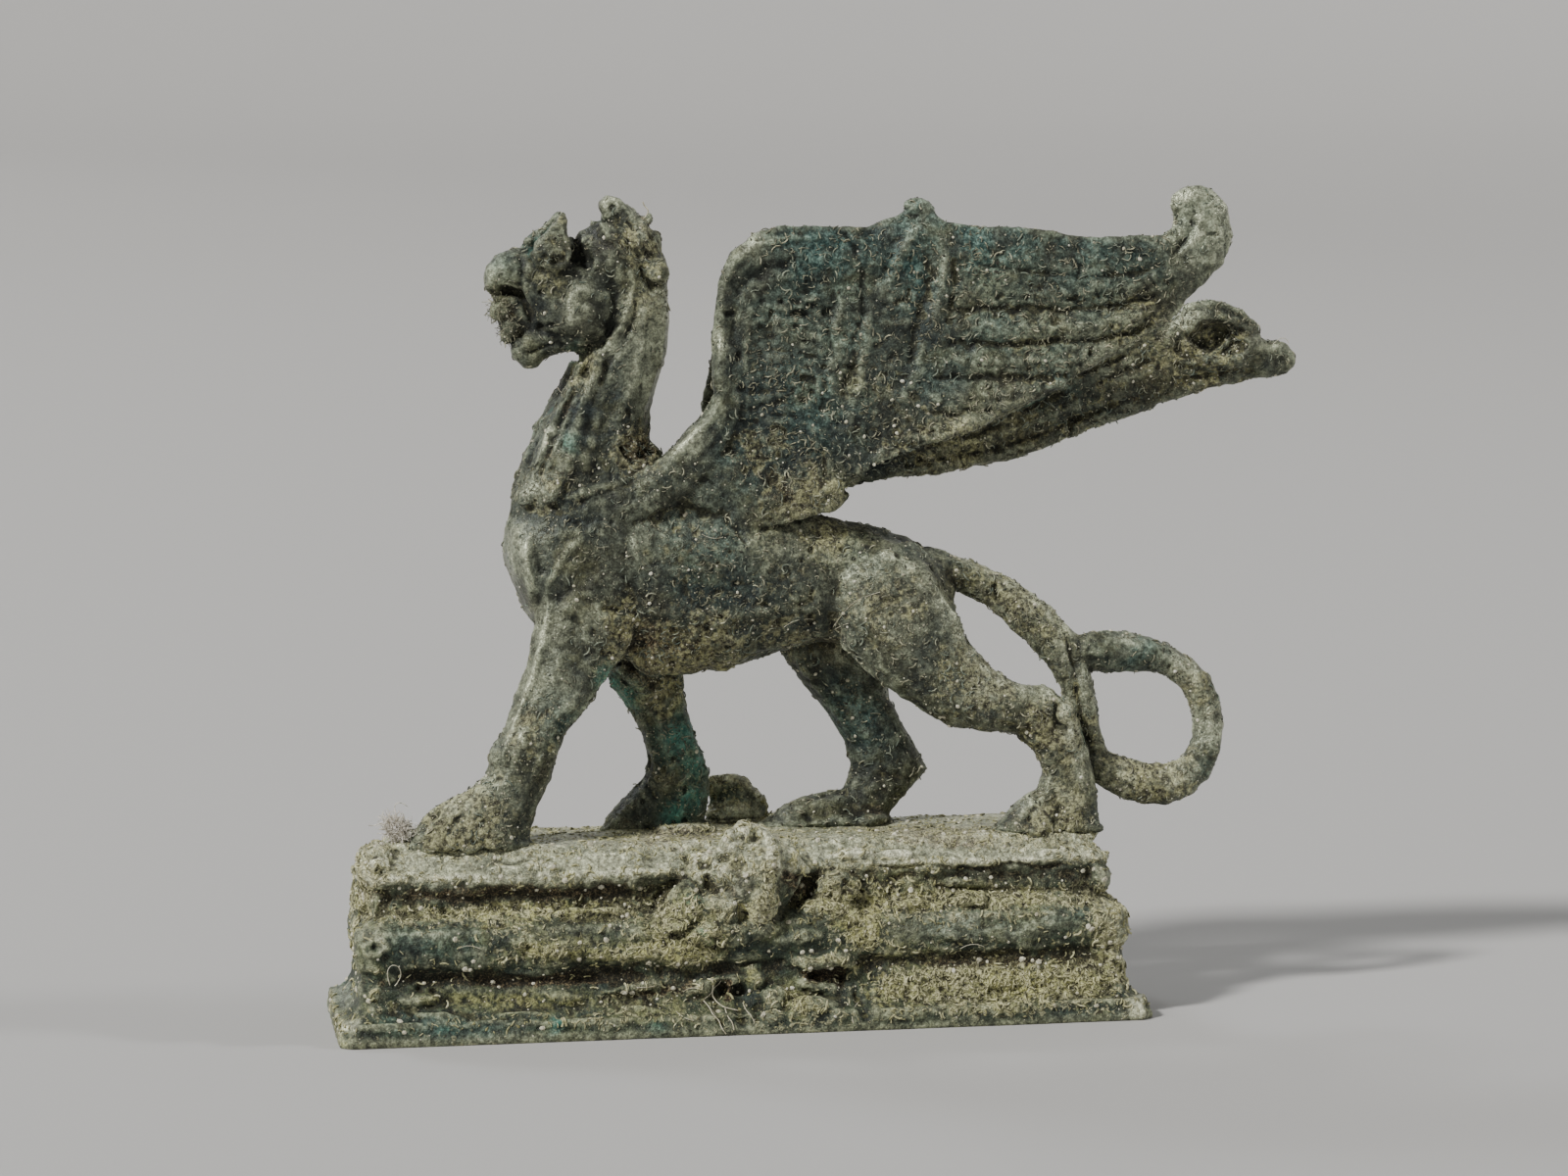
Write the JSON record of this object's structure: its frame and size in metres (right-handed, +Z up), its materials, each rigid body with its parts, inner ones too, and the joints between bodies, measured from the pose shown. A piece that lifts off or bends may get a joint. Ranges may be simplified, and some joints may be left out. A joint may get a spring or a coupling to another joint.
{
  "type": "griffin statue",
  "caption": "Small cast bronze griffin striding on a moulded rectangular plinth, with raised wings, an open beak and a looped tail.",
  "frame": {"origin": "on the ground, below the middle of the whole work's bounding box", "axes": "+X towards the tail, with the griffin looking along -X; +Y towards the far side; +Z up"},
  "size_m": [0.0756, 0.019, 0.062],
  "materials": {
    "bronze": "corroded dark green-black bronze with worn grey highlights, pale specks and soil in the hollows",
    "crusted_bronze": "dark bronze under a thick olive and beige crust"
  },
  "bodies": {
    "root": {"griffin": "bronze", "plinth": "crusted_bronze"}
  },
  "joints": []
}
